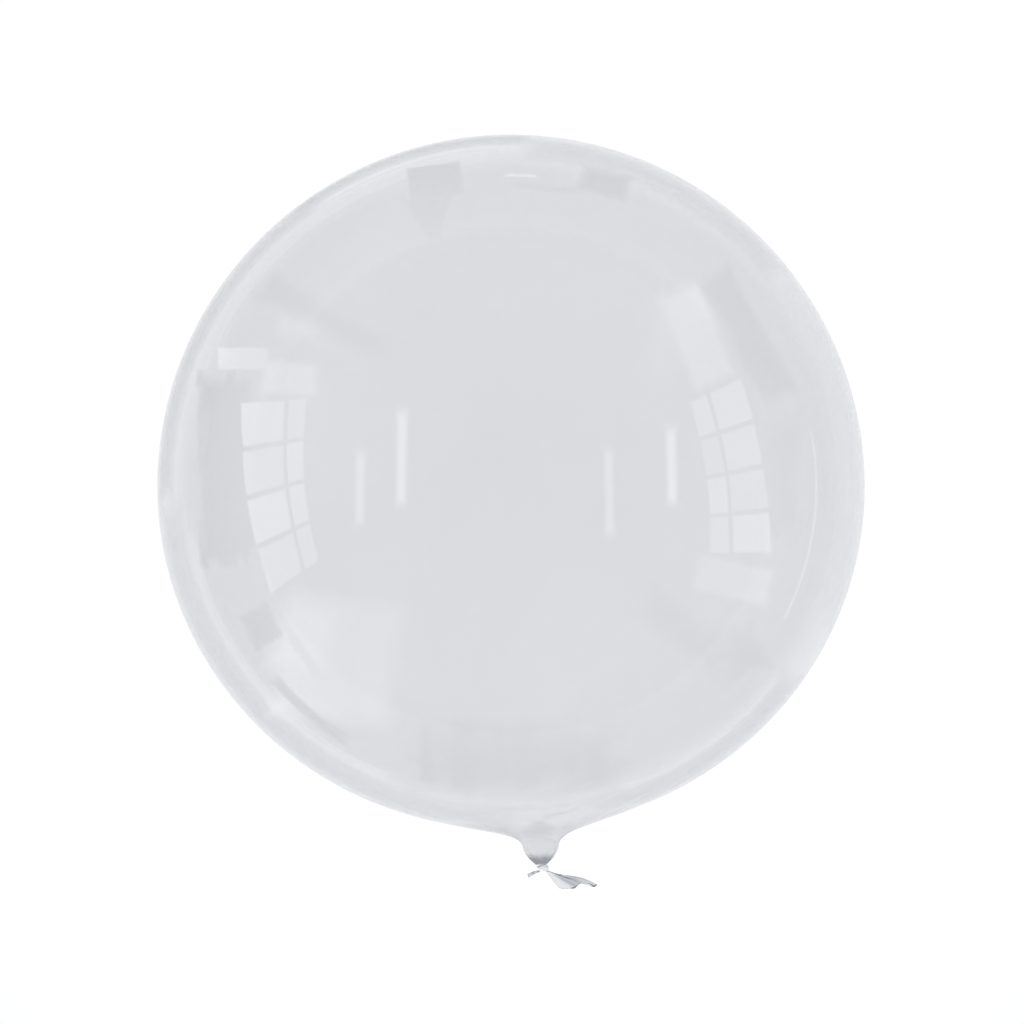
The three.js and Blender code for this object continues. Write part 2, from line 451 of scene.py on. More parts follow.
def throat_ring(size, share):
    """From a point inside the knot to the pinch."""
    close = size["Pinch Radius"] * size["Throat Share"] * (1.0 - share)
    return size["Pinch Radius"] * share.root(), size["Pinch Depth"] + close


zones = {
    throat_ring: THROAT_RINGS,
    bulb_ring: BULB_RINGS,
    skirt_ring: SKIRT_RINGS,
    base_ring: BASE_RINGS,
    crown_ring: CROWN_RINGS,
}
print("zones of the ball:", {ring.__name__: count for ring, count in zones.items()})


# %% The tree of the ball, its skirt and its bulb
def wrap_zones(tree, size):
    """All zones as grids that are wrapped round the ball's axis and welded to one skin."""
    wrapped = []
    for ring, count in zones.items():
        values = {"Size X": 1.0, "Size Y": 1.0, "Vertices X": BALL_SIDES + 1, "Vertices Y": count + 1}
        grid = add_node(tree, "GeometryNodeMeshGrid", None, values)
        across, up, _ = split(tree, grid.outputs["UV Map"])
        turn = across * (2 * math.pi)
        out, depth = ring(size, up)
        mesh = grid.outputs["Mesh"]
        wrapped.append(place_points(tree, mesh, out * turn.cos(), -depth, -(out * turn.sin())))
    joined = tree.nodes.new("GeometryNodeJoinGeometry")
    for zone in reversed(wrapped):
        tree.links.new(zone, joined.inputs[0])
    values = {"Geometry": joined.outputs[0], "Distance": WELD_DISTANCE}
    return add_node(tree, "GeometryNodeMergeByDistance", None, values).outputs[0]


def gather_neck(tree, size, mesh):
    """Pleat the bulb, slide the rings near it to the neck's place, and mark the dark and pale film, with
    painted shade on one side of the bulb and in its pleats.
    """
    x, y, z = split(tree, point_place(tree))
    out = (x ** 2.0 + z ** 2.0).root()
    turn = combine("ARCTAN2", z, x)
    start, length = bulb_start(size)
    down_bulb = ((-y - start) / length).at_least(0.0).at_most(1.0)
    near_neck = 1.0 - y.ease(*SLIDE_DEPTHS)
    uneven = turn * size["Pleat Count"] * 0.5 + (turn * 2.0 + 1.0).sin() * size["Pleat Sway"]
    pleat = (uneven.sin() ** 2.0) ** size["Pleat Sharpness"]
    fold = size["Pleat Depth"] * pleat * (down_bulb * math.pi).sin()
    shrink = 1.0 - fold / out.at_least(SMALLEST_DISTANCE)
    shift = size["Neck Offset"] * (1.0 - out.ease(size["Skirt Reach"], size["Slide Reach"])) * near_neck
    new_x = x * shrink + shift
    new_z = z * shrink
    off_axis = (new_x ** 2.0 + new_z ** 2.0).root()
    lift = (depth_of_base(size, out) - depth_of_base(size, off_axis)) * (1.0 - down_bulb) * near_neck
    shifted = place_points(tree, mesh, new_x, y + lift, new_z)

    knotted = down_bulb.ease(*KNOT_RANGE)
    # Painted shade: darker towards the pinch, more on one side and in the pleats, over the gathered film's own
    # darkening.
    layers = (down_bulb + PAINTED_SHADE_LEAN * turn.cos()).ease(*DARK_RANGE) * (0.5 + 0.5 * pleat)
    marked = keep_value(tree, shifted, "gather_and_shade", layers * (1.0 - knotted))
    return keep_value(tree, marked, "pale", knotted)


def wave_film(tree, size, mesh):
    """A very slight wave all over, and fine gathers that run out from the neck."""
    place = point_place(tree)
    normal = add_node(tree, "GeometryNodeInputNormal").outputs[0]
    y, distance, spoke = neck_spokes(tree, place, size["Neck Offset"], 0.0)
    wave = noise_field(tree, place, scale=7.0, detail=3.0) - 0.5
    ripple = noise_field(tree, spoke, scale=8.0, detail=1.0) - 0.5
    fade = distance.ease(*GATHERS_COME) * (1.0 - y.ease(*GATHER_DEPTHS))
    spread = distance * (1.0 - distance.ease(*GATHERS_GO))
    push = wave * size["Wave Height"] + ripple * size["Gather Slope"] * spread * fade
    offset = add_node(tree, "ShaderNodeVectorMath", {"operation": "SCALE"}, {0: normal, "Scale": push})
    values = {"Geometry": mesh, "Offset": offset.outputs[0]}
    return add_node(tree, "GeometryNodeSetPosition", None, values).outputs[0]


def seat_film(tree, size, mesh):
    """Lift the ball onto the floor, and press it flat where it rests."""
    x, y, z = split(tree, point_place(tree))
    return place_points(tree, mesh, x, y, (z + size["Middle Height"]).at_least(0.0))


def make_ball_tree():
    """The tree that wraps the film round its axis."""
    tree, size, material = new_tree("film_ball", ball_sizes)
    skin = wrap_zones(tree, size)
    for step in (gather_neck, wave_film, seat_film):
        skin = step(tree, size, skin)
    finish_tree(tree, skin, material)
    return tree


ball_mesh = run_tree(make_ball_tree(), "film_ball", ball_sizes, film_finish)

# %% [markdown]
# Beyond the knot the neck is a flattened tube, cut off at a slant. A helper bends such a tube over any
# surface: each step along it is a closed loop that runs out over the front of the surface and back behind it.

# %% Flat tubes and round strands of film
SMALL_STEP = 1e-3


def loft_loops(name, loops, shades, wrung_share, closed_ends):
    """A mesh through a row of closed loops of points, with a gather value for each point, which darkens the
    film for its layers and as painted shade.
    """
    shape = bmesh.new()
    gather_and_shade, pale, wrung = (shape.verts.layers.float.new(title) for title in ("gather_and_shade", "pale", "wrung"))
    rows = [[shape.verts.new(point) for point in loop] for loop in loops]
    for row, row_shades in zip(rows, shades):
        for vertex, shade in zip(row, row_shades):
            vertex[gather_and_shade] = shade
            vertex[pale] = 1.0
            vertex[wrung] = wrung_share
    count = len(rows[0])
    for this, following in zip(rows, rows[1:]):
        for index in range(count):
            other = (index + 1) % count
            shape.faces.new((this[index], this[other], following[other], following[index]))
    if closed_ends:
        shape.faces.new(reversed(rows[0]))
        shape.faces.new(rows[-1])
    bmesh.ops.recalc_face_normals(shape, faces=shape.faces)
    for face in shape.faces:
        face.smooth = True
    mesh = bpy.data.meshes.new(name)
    shape.to_mesh(mesh)
    shape.free()
    print(name, "faces", len(mesh.polygons))
    return mesh


def flat_tube(name, middle, gap, shade, along_steps, around_steps):
    """A flattened tube over the surface that middle(along, across) gives, its two layers a gap apart."""
    loops = []
    shades = []
    for row in range(along_steps + 1):
        along = row / along_steps
        loop = []
        loop_shades = []
        for step in range(around_steps):
            turn = 2 * math.pi * step / around_steps
            across = 0.5 - 0.5 * math.cos(turn)
            lengthwise = middle(along + SMALL_STEP, across) - middle(along - SMALL_STEP, across)
            crosswise = middle(along, across + SMALL_STEP) - middle(along, across - SMALL_STEP)
            outward = lengthwise.cross(crosswise).normalized()
            side = math.copysign(abs(math.sin(turn)) ** 0.5, math.sin(turn))
            loop.append(middle(along, across) + outward * side * gap(along) / 2)
            loop_shades.append(shade(along, across))
        loops.append(loop)
        shades.append(loop_shades)
    return loft_loops(name, loops, shades, wrung_share=0.0, closed_ends=False)


# %% [markdown]
# The flap keeps the imported model's outline: one straight steep edge, one wavy edge that runs on to a tip, and
# a slanting cut between them. It is a broad pale panel on the side of the steep edge, where the pale tint is a
# painted highlight. On the other side the film bunches up in standing folds, which look dark from above
# because one looks along the film there; that darkness is painted shade in the film's tint.

# %% The flap's outline and folds
STEEP_LENGTH = 0.033
STEEP_ANGLE = math.radians(53)
TIP_LENGTH = 0.0408
TIP_ANGLE = math.radians(17.7)
STEEP_EDGE = Vector((math.cos(STEEP_ANGLE), -math.sin(STEEP_ANGLE), 0)) * STEEP_LENGTH
TIP = Vector((math.cos(TIP_ANGLE), -math.sin(TIP_ANGLE), 0)) * TIP_LENGTH
SINK_SHARE = 0.36
SINK_DEPTH = 2
RISE_SHARE = 0.6
RISE_DEPTH = 0.3
SINK_HANDLE = Vector((TIP.x * SINK_SHARE, TIP.y * SINK_SHARE * SINK_DEPTH, 0))
RISE_HANDLE = Vector((TIP.x * RISE_SHARE, TIP.y * RISE_SHARE * RISE_DEPTH, 0))

ROOT_SHARE = 0.08
CUT_START = 0.55
CUT_SLANT = 0.25
POINT_RANGE = (0.75, 0.92)

FOLD_HEIGHT = 0.0034
FOLD_GROWTH = 1.3
FOLD_TURNS = 3 * math.pi
FOLD_CROWDING = 1.7
CREASE_HEIGHT = 0.0009
BROAD_CREASES = (7, 2, 3.1)
FINE_CREASES = (19, 3, 7.7)
GRAIN = (11, 3, 1.9)
FLAP_GAP = 0.0003
FLAP_OPENING = 0.0009


def ease(value, start, end):
    """From 0 at the start to 1 at the end, with a gentle step between them."""
    share = min(1.0, max(0.0, (value - start) / (end - start)))
    return share * share * (3 - 2 * share)


def flat_edge(share):
    """The flap's wavy edge, as one bent curve from the knot to the tip."""
    rest = 1 - share
    return SINK_HANDLE * 3 * rest * rest * share + RISE_HANDLE * 3 * rest * share * share + TIP * share ** 3


def flap_reach(along, across):
    """How far along its edges a place of the flap is: the cut is slanted, and runs out to the tip."""
    cut = CUT_START + CUT_SLANT * min(1.0, across / 0.5)
    share = cut + (1 - cut) * ease(across, *POINT_RANGE)
    return ROOT_SHARE + (share - ROOT_SHARE) * along


def streaky(across, along, pattern):
    """Random streaks along the flap: the pattern says how many across and along, and which ones."""
    return noise.noise(Vector((across * pattern[0], along * pattern[1], pattern[2])))


def flap_middle(along, across):
    """The middle of the flap's two layers."""
    reach = flap_reach(along, across)
    point = (STEEP_EDGE * reach).lerp(flat_edge(reach), across)
    crowded = min(1.0, max(0.0, across)) ** FOLD_CROWDING
    folds = FOLD_HEIGHT * reach ** FOLD_GROWTH * math.sin(FOLD_TURNS * crowded)
    creases = streaky(across, reach, BROAD_CREASES) + 0.5 * streaky(across, reach, FINE_CREASES)
    point.z = folds + CREASE_HEIGHT * creases * reach
    return KNOT + point


def flap_gap(along):
    """The flap's layers part towards the cut."""
    return FLAP_GAP + FLAP_OPENING * along ** 3


# %% [markdown]
# The flap's gather value is low on the panel, higher on its rolled edge, and highest along the folds, where
# it is painted shade for standing film seen edge-on. It fades out into the knot, and a little at the thin tip.

# %% How dark the flap is
PANEL_SHADE = 0.2
ROLLED_SHADE = 0.25
ROLLED_WIDTH = 0.06
BUNCHED_SHADE = 0.3
FOLD_SHADE = 0.35
BUNCHED_ACROSS = (0.42, 0.62)
BUNCHED_ALONG = (0.15, 0.55)
TIP_ACROSS = (0.7, 0.9)
TIP_ALONG = (0.6, 0.95)
TIP_FADE = 0.6
ROOT_ALONG = (-0.02, 0.3)


def flap_shade(along, across):
    """Painted shade along the folds, darker film at the rolled edges, and pale on the broad panel."""
    crowded = across ** FOLD_CROWDING
    fold = abs(math.cos(FOLD_TURNS * crowded)) ** 3
    grain = 0.5 + 0.5 * streaky(across, along, GRAIN)
    edge = ROLLED_SHADE * (1 - ease(across, 0.0, ROLLED_WIDTH))
    bunched = ease(across, *BUNCHED_ACROSS) * ease(along, *BUNCHED_ALONG)
    tip = ease(along, *TIP_ALONG) * ease(across, *TIP_ACROSS)
    # The folds' darkness is painted shade for standing film seen edge-on.
    shade = PANEL_SHADE + edge + bunched * (1 - TIP_FADE * tip) * (BUNCHED_SHADE + FOLD_SHADE * fold * grain)
    return min(1.0, shade) * ease(along, *ROOT_ALONG)


flap_mesh = flat_tube("film_flap", flap_middle, flap_gap, flap_shade, along_steps=40, around_steps=96)

# %% [markdown]
# The other corner of the cut end is the lip. It has rolled itself into a narrow gutter, as trimmed film does.

# %% The lip
LIP_LENGTH = 0.0115
LIP_WIDTH = 0.0036
LIP_ROLL = math.radians(200)
LIP_ANGLE = math.radians(22)
LIP_DROP = 0.0017
LIP_BEND = 0.0006
LIP_ROOT_SHARE = 0.2
LIP_GAP = 0.0003
LIP_SHADE = 0.35
LIP_PINCH_SHADE = 0.6
LIP_PINCHES = 2.1
LIP_ROOT_ALONG = (-0.1, 0.2)


def lip_middle(along, across):
    """The middle of the lip's two layers, curled round its length."""
    roll = LIP_ROLL * (across - 0.5)
    radius = LIP_WIDTH / LIP_ROLL * (0.5 + 0.7 * along)
    out = LIP_LENGTH * (LIP_ROOT_SHARE + (1 - LIP_ROOT_SHARE) * along)
    rise = radius * math.sin(roll)
    bend = LIP_BEND * math.sin(math.pi * along)
    return KNOT + Vector((
        -out * math.cos(LIP_ANGLE) - rise * math.sin(LIP_ANGLE),
        -LIP_DROP - out * math.sin(LIP_ANGLE) + rise * math.cos(LIP_ANGLE) + bend,
        radius * (math.cos(roll) - 0.5),
    ))


def lip_gap(along):
    """The lip's layers part towards the cut."""
    return LIP_GAP * (1 + along)


def lip_shade(along, across):
    """Two dark pinches along the lip, and paler film between and beyond them."""
    pinches = 0.5 + 0.5 * math.cos(2 * math.pi * (along * LIP_PINCHES - 0.25))
    fading = (1 - 0.6 * along) * (0.6 + 0.4 * math.sin(math.pi * across))
    return (LIP_SHADE + LIP_PINCH_SHADE * pinches * fading) * ease(along, *LIP_ROOT_ALONG)


lip_mesh = flat_tube("film_lip", lip_middle, lip_gap, lip_shade, along_steps=24, around_steps=40)

# %% [markdown]
# The knot is the neck's film twisted into a strand and wound round itself. A strand with a ribbed section
# that turns as it runs shows the twist, and two tilted turns of it cross each other like a pulled overhand
# knot.

# %% The knot
KNOT_RADIUS = 0.0042
KNOT_TURN = 4.3 * math.pi
TURN_TILT = math.radians(14)
TUCK_LENGTH = 0.1
TUCKED_SHARE = 0.35
STRAND_RADIUS = 0.0016
STRAND_RIBS = 6
STRAND_TWIST = 9
RIB_DEPTH = 0.13
RIB_SHADE = 0.03


def knot_path(share):
    """Two turns round the pinch, tilted against each other, with both ends tucked in."""
    turn = KNOT_TURN * share
    tuck = ease(share, 0, TUCK_LENGTH) * (1 - ease(share, 1 - TUCK_LENGTH, 1))
    out = (KNOT_RADIUS - STRAND_RADIUS) * (TUCKED_SHARE + (1 - TUCKED_SHARE) * tuck)
    tilt = math.cos(math.pi * share) * math.tan(TURN_TILT)
    rise = TURN_PITCH * (0.5 - share)
    return Vector((out * math.cos(turn), rise + out * math.cos(turn) * tilt, out * math.sin(turn)))


def make_knot(steps=150, around=30):
    """The twisted strand along the knot's path."""
    loops = []
    shades = []
    for step in range(steps + 1):
        share = step / steps
        along = (knot_path(share + SMALL_STEP) - knot_path(share - SMALL_STEP)).normalized()
        side = along.cross(Vector((0, 1, 0))).normalized()
        up = side.cross(along)
        loop = []
        loop_shades = []
        for index in range(around):
            angle = 2 * math.pi * index / around
            rib = math.cos(STRAND_RIBS * angle + STRAND_TWIST * 2 * math.pi * share)
            radius = STRAND_RADIUS * (1 + RIB_DEPTH * (rib - 1) / 2)
            loop.append(KNOT + knot_path(share) + (side * math.cos(angle) + up * math.sin(angle)) * radius)
            # Painted shade in the grooves between the strand's ribs.
            loop_shades.append(RIB_SHADE * (1 - rib))
        loops.append(loop)
        shades.append(loop_shades)
    return loft_loops("film_knot", loops, shades, wrung_share=1.0, closed_ends=True)


knot_mesh = make_knot()

# %% [markdown]
# All of these are one sheet of film, so they become one piece. The ball, the flap and the lip get the film's
# real thickness from a Solidify modifier: light then meets two surfaces close together, as on the real film,
# and the ball doesn't bend the view behind it like a solid glass ball would. The knot's strand is wrung
# tight, so it stays solid.

# %% One piece of film with a real thickness
FILM_THICKNESS = 0.0002


def thicken(mesh):
    """The same mesh with a wall as thick as the film, grown inwards."""
    holder = bpy.data.objects.new(mesh.name, mesh)
    bpy.context.scene.collection.objects.link(holder)
    solidify = holder.modifiers.new("wall", "SOLIDIFY")
    solidify.thickness = FILM_THICKNESS
    solidify.offset = -1.0
    solidify.use_even_offset = False
    evaluated = holder.evaluated_get(bpy.context.evaluated_depsgraph_get())
    walled = bpy.data.meshes.new_from_object(evaluated)
    bpy.data.objects.remove(holder)
    return walled


def count_open_edges(mesh):
    """How many edges of a mesh don't lie between exactly two faces."""
    shape = bmesh.new()
    shape.from_mesh(mesh)
    count = sum(1 for edge in shape.edges if len(edge.link_faces) != 2)
    shape.free()
    return count


def join_meshes(name, meshes):
    """One object that holds all the meshes."""
    holders = [bpy.data.objects.new(name, mesh) for mesh in meshes]
    for holder in holders:
        bpy.context.scene.collection.objects.link(holder)
    with bpy.context.temp_override(active_object=holders[0], selected_editable_objects=holders):
        bpy.ops.object.join()
    return holders[0]


film_meshes = [thicken(mesh) for mesh in (ball_mesh, flap_mesh, lip_mesh)] + [knot_mesh]
for mesh in film_meshes:
    mesh.materials.clear()
    mesh.materials.append(film_finish)
    print(mesh.name, len(mesh.polygons), "faces, open edges", count_open_edges(mesh))
film = join_meshes("film_of_the_balloon", film_meshes)
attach(film, "root")
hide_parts("balloon_film")
print("film", film.name, len(film.data.polygons), "faces, slots", len(film.material_slots))

# %% [markdown]
# The studio is plain: a pale floor that glows softly from below, like a light table, and a soft sky. With
# light from below, clear film shows its own grey and throws almost no shadow. The glow falls off away from
# the balloon, so that the film's edge, which mirrors the floor further out, doesn't turn whiter than the
# rest. Far away it rises again to nearly the sky's own brightness, so that the floor's end hardly shows.

# %% Floor and sky
FLOOR_SIZE = 14.0
FLOOR_GAP = 0.0004
FLOOR_COLOUR = (0.08, 0.08, 0.08, 1.0)
FLOOR_GLOW_NEAR = 1.0
FLOOR_GLOW_FAR = 0.72
FLOOR_GLOW_EDGE = 0.81
FALL_START = 0.44
FALL_END = 0.85
RISE_START = 1.4
RISE_END = 5.0
SKY_SIDE = 0.88
SKY_TOP = 1.0
COOL_LIGHT = (0.968, 0.980, 1.0)


def cool_light(tree, glow):
    """The studio's cool light, as a colour that is brighter or dimmer by a field."""
    values = {0: COOL_LIGHT, "Scale": glow}
    return add_node(tree, "ShaderNodeVectorMath", {"operation": "SCALE"}, values).outputs[0]


def make_floor():
    """A plain pale floor under the balloon."""
    shape = bmesh.new()
    bmesh.ops.create_grid(shape, x_segments=1, y_segments=1, size=FLOOR_SIZE / 2)
    bmesh.ops.translate(shape, verts=shape.verts, vec=(0, 0, -FLOOR_GAP))
    mesh = bpy.data.meshes.new("floor")
    shape.to_mesh(mesh)
    shape.free()
    floor = bpy.data.objects.new("floor", mesh)
    bpy.context.scene.collection.objects.link(floor)
    material = bpy.data.materials.new("pale_floor")
    material.use_nodes = True
    tree = material.node_tree
    shader = tree.nodes["Principled BSDF"]
    shader.inputs["Base Color"].default_value = FLOOR_COLOUR
    shader.inputs["Roughness"].default_value = 1.0
    shader.inputs["Specular IOR Level"].default_value = 0.0
    shader.inputs["Emission Strength"].default_value = 1.0
    place = add_node(tree, "ShaderNodeTexCoord").outputs["Object"]
    away = Field(add_node(tree, "ShaderNodeVectorMath", {"operation": "LENGTH"}, {0: place}).outputs["Value"])
    fall = (FLOOR_GLOW_FAR - FLOOR_GLOW_NEAR) * away.ease(FALL_START, FALL_END)
    rise = (FLOOR_GLOW_EDGE - FLOOR_GLOW_FAR) * away.ease(RISE_START, RISE_END)
    feed(tree, shader.inputs["Emission Color"], cool_light(tree, FLOOR_GLOW_NEAR + fall + rise))
    material.cycles.emission_sampling = "NONE"
    mesh.materials.append(material)


def make_sky():
    """A soft sky, brightest overhead."""
    world = bpy.data.worlds.new("soft_sky")
    world.use_nodes = True
    tree = world.node_tree
    height = split(tree, add_node(tree, "ShaderNodeTexCoord").outputs["Generated"])[2].at_least(0.0)
    background = tree.nodes["Background"]
    background.inputs["Strength"].default_value = 1.0
    feed(tree, background.inputs["Color"], cool_light(tree, SKY_SIDE + (SKY_TOP - SKY_SIDE) * height))
    bpy.context.scene.world = world


make_floor()
make_sky()
bpy.context.scene.view_settings.view_transform = "Standard"
print("floor", FLOOR_SIZE, "m wide, sky", SKY_SIDE, "to", SKY_TOP)

# %% [markdown]
# Clear film shows itself mostly by what it mirrors. Photographers put white and black cards round a shiny
# thing, just outside the picture, and this studio does the same. To place a card, we ask where its
# reflection should show: a ray from the camera goes through that place in the picture, bounces off the
# ball, and ends on the card. The cards are seen by reflected rays only, so they don't stand in any view and
# don't light the floor.

# %% Where a card must be for its reflection to show at a place in the picture
BALL_MIDDLE = Vector((0, 0, MIDDLE_HEIGHT))
STUDIO_RADIUS = 3.0
CARD_LIFT = 0.002
CARD_SPACING = 0.0004
WALL_SPACING = 0.006


def meet_ball(start, aim, depth):
    """Where a ray meets the ball's near side, and the way the film faces there."""
    squeeze = Vector((1, BALL_RADIUS / depth, 1))
    offset = (start - BALL_MIDDLE) * squeeze
    heading = aim * squeeze
    across = heading.length_squared
    half = offset.dot(heading) / across
    spare = half * half - (offset.length_squared - BALL_RADIUS ** 2) / across
    meeting = start + aim * (-half - math.sqrt(max(0.0, spare)))
    return meeting, ((meeting - BALL_MIDDLE) * squeeze * squeeze).normalized()


def mirrored_place(right, up, layer):
    """What part of the studio the ball mirrors at a place in pixels right of and above its middle."""
    across = (MIDDLE_PIXEL.x + right - HALF_PICTURE) * picture_slope
    upward = (HALF_PICTURE - MIDDLE_PIXEL.y + up) * picture_slope
    aim = Vector((across, upward, -1)).normalized()
    meeting, facing = meet_ball(camera.location.copy(), aim, CROWN_HEIGHT if up > 0 else BASE_DEPTH)
    away = aim - facing * 2 * aim.dot(facing)
    half = (meeting - BALL_MIDDLE).dot(away)
    wall = STUDIO_RADIUS - layer * WALL_SPACING
    reach = -half + math.sqrt(half * half - (meeting - BALL_MIDDLE).length_squared + wall * wall)
    if away.z < 0:
        reach = min(reach, (CARD_LIFT + layer * CARD_SPACING - meeting.z) / away.z)
    return meeting + away * reach


print("the middle of the picture mirrors", tuple(round(v, 2) for v in mirrored_place(0, 0, 0)))

# %% [markdown]
# Each card is a small grid. A straight card is placed by its middle, its size and its turn, in pixels from
# the ball's middle. A bent one follows the ball's edge, from one angle to another, and its distance is a
# share of the way to the edge. Glow is brightness: the sky's is 1, so a card below 1 is a dark one. The
# edges are soft, and some are ragged, as the trees and roofs outside a window are.

# %% Helpers for cards
CARD_STEPS = 10
LENGTH_SHARES = (0, 0.25, 0.5, 0.75, 1)
PANE_ROWS = 4
PANE_BAR = 0.025
PANE_SOFTNESS = 0.07
PANE_RAGGEDNESS = 0.02
PANE_VARIETY = 0.2

card_names = []
cards = bmesh.new()
card_place = cards.loops.layers.uv.new("UVMap")
CARD_VALUES = ("glow", "soft", "ragged", "wide", "tall")
card_layers = [cards.verts.layers.float.new(title) for title in CARD_VALUES]


def add_card_point(place, *values):
    """One point of a card, with its glow, softness, raggedness, width and height."""
    vertex = cards.verts.new(place)
    for layer, value in zip(card_layers, values):
        vertex[layer] = value
    return vertex


def add_card_face(corners, spots):
    """One face of a card, with its place on the card at each corner."""
    face = cards.faces.new(corners)
    for loop, spot in zip(face.loops, spots):
        loop[card_place].uv = spot


def spread_card(place, glow, soft, ragged):
    """A card whose place(across, down) says where each part of it shows."""
    layer = len(cards.faces) // CARD_STEPS ** 2
    middle_row = [Vector(place(share, 0.5)) for share in LENGTH_SHARES]
    middle_column = [Vector(place(0.5, share)) for share in LENGTH_SHARES]
    width, height = (
        sum((spot - other).length for spot, other in zip(spots, spots[1:]))
        for spots in (middle_row, middle_column)
    )
    wide = math.sqrt(max(1.0, width / height))
    tall = math.sqrt(max(1.0, height / width))
    rows = []
    for row in range(CARD_STEPS + 1):
        line = []
        for column in range(CARD_STEPS + 1):
            right, up = place(column / CARD_STEPS, row / CARD_STEPS)
            line.append(add_card_point(mirrored_place(right, up, layer), glow, soft, ragged, wide, tall))
        rows.append(line)
    for row in range(CARD_STEPS):
        for column in range(CARD_STEPS):
            steps = ((row, column), (row, column + 1), (row + 1, column + 1), (row + 1, column))
            spots = [(x / CARD_STEPS, y / CARD_STEPS) for y, x in steps]
            add_card_face([rows[y][x] for y, x in steps], spots)


def straight_card(name, middle, size, glow, turn=0, soft=0.3, ragged=0.0, taper=0.0):
    """A card with straight sides, turned anticlockwise by some degrees and narrowed towards its foot."""
    cosine, sine = math.cos(math.radians(turn)), math.sin(math.radians(turn))

    def place(across, down):
        x = (across - 0.5) * size[0] * (1 - taper * down)
        y = (0.5 - down) * size[1]
        return middle[0] + x * cosine - y * sine, middle[1] + x * sine + y * cosine

    card_names.append(name)
    spread_card(place, glow, soft, ragged)


def bent_card(name, angles, shares, glow, soft=0.3, ragged=0.0):
    """A card that follows the ball's edge."""

    def place(across, down):
        angle = math.radians(angles[0] + (angles[1] - angles[0]) * across)
        reach = EDGE_PIXELS * (shares[0] + (shares[1] - shares[0]) * down)
        flat = (CROWN_HEIGHT if math.sin(angle) > 0 else BASE_DEPTH) / BALL_RADIUS
        return reach * math.cos(angle), reach * math.sin(angle) * flat

    card_names.append(name)
    spread_card(place, glow, soft, ragged)


def add_window(name, corners, splits, bow, glow):
    """Rows of panes between four corners, clockwise from the top left, with bars at the splits."""
    top_left, top_right, bottom_right, bottom_left = (Vector(corner) for corner in corners)
    clear = 1 - 2 * PANE_BAR
    for row in range(PANE_ROWS):
        for start, end in zip(splits, splits[1:]):

            def place(across, down, row=row, start=start, end=end):
                x = start + (end - start) * (across * clear + PANE_BAR)
                y = (row + PANE_BAR + clear * down) / PANE_ROWS
                left = top_left.lerp(bottom_left, y)
                right = top_right.lerp(bottom_right, y)
                return tuple(left.lerp(right, x) + Vector((bow * math.sin(math.pi * y), 0)))

            shade = 1 + PANE_VARIETY * math.sin(4 * row + 7 * start)
            spread_card(place, 1 + (glow - 1) * shade, PANE_SOFTNESS, PANE_RAGGEDNESS)
    card_names.append(name)


def shoulder_card(name, left, right, start, end, lift, glow, soft):
    """A small pale card right above the neck, so that the film round it mirrors the card, not the neck."""
    corners = []
    for x, y in ((left, start), (right, start), (right, end), (left, end)):
        place = (NECK_OFFSET + x, -y, MIDDLE_HEIGHT + lift)
        corners.append(add_card_point(place, glow, soft, 0.0, 1.0, 1.0))
    add_card_face(corners, ((0, 0), (1, 0), (1, 1), (0, 1)))
    card_names.append(name)


print("cards are grids of", CARD_STEPS ** 2, "faces")

# %% Wide, dim cards first, because later ones stand in front of them
# The dark rim, and the lit wall behind it that shows as a pale line just inside the rim.
bent_card("upper right rim", angles=(36, 90), shares=(0.915, 1.0), glow=0.66, soft=0.4)
bent_card("top rim", angles=(86, 130), shares=(0.965, 1.0), glow=0.7, soft=0.4)
bent_card("upper left rim", angles=(122, 184), shares=(0.945, 1.0), glow=0.68, soft=0.4)
bent_card("lower left rim", angles=(180, 276), shares=(0.92, 1.0), glow=0.7, soft=0.4)
bent_card("lower right rim", angles=(262, 328), shares=(0.92, 1.0), glow=0.7, soft=0.4)
bent_card("upper left wall", angles=(164, 91), shares=(0.912, 0.966), glow=1.05, soft=0.3, ragged=0.15)
bent_card("lower left wall", angles=(186, 250), shares=(0.895, 0.935), glow=1.25, soft=0.35, ragged=0.1)
bent_card("lower right wall", angles=(288, 325), shares=(0.915, 0.95), glow=1.1, soft=0.4)
bent_card("right wall", angles=(-26, 40), shares=(0.90, 1.0), glow=0.92, soft=0.3, ragged=0.1)

# Soft light from the far end of the room.
straight_card("low light", middle=(-172, -172), size=(142, 150), glow=1.9, turn=-8, soft=0.2, ragged=0.12)
straight_card("doorway", middle=(-206, -150), size=(84, 104), glow=2.8, turn=-16, soft=0.4, ragged=0.04)
straight_card("high light", middle=(150, 142), size=(70, 120), glow=1.45, turn=-14, soft=0.5, ragged=0.2)
straight_card("roof light", middle=(186, 150), size=(56, 116), glow=2.3, turn=22, soft=0.22, ragged=0.1)
straight_card("left patch", middle=(-212, 158), size=(64, 40), glow=1.5, turn=-14, soft=0.4, ragged=0.2)
straight_card("left band", middle=(-221, 108), size=(70, 42), glow=2.1, turn=-4, soft=0.25, ragged=0.15)
straight_card("left pane", middle=(-268, 128), size=(56, 26), glow=1.9, soft=0.15, ragged=0.08)
straight_card("right sill", middle=(222, -93), size=(88, 44), glow=1.8, turn=-13, soft=0.18, ragged=0.15)

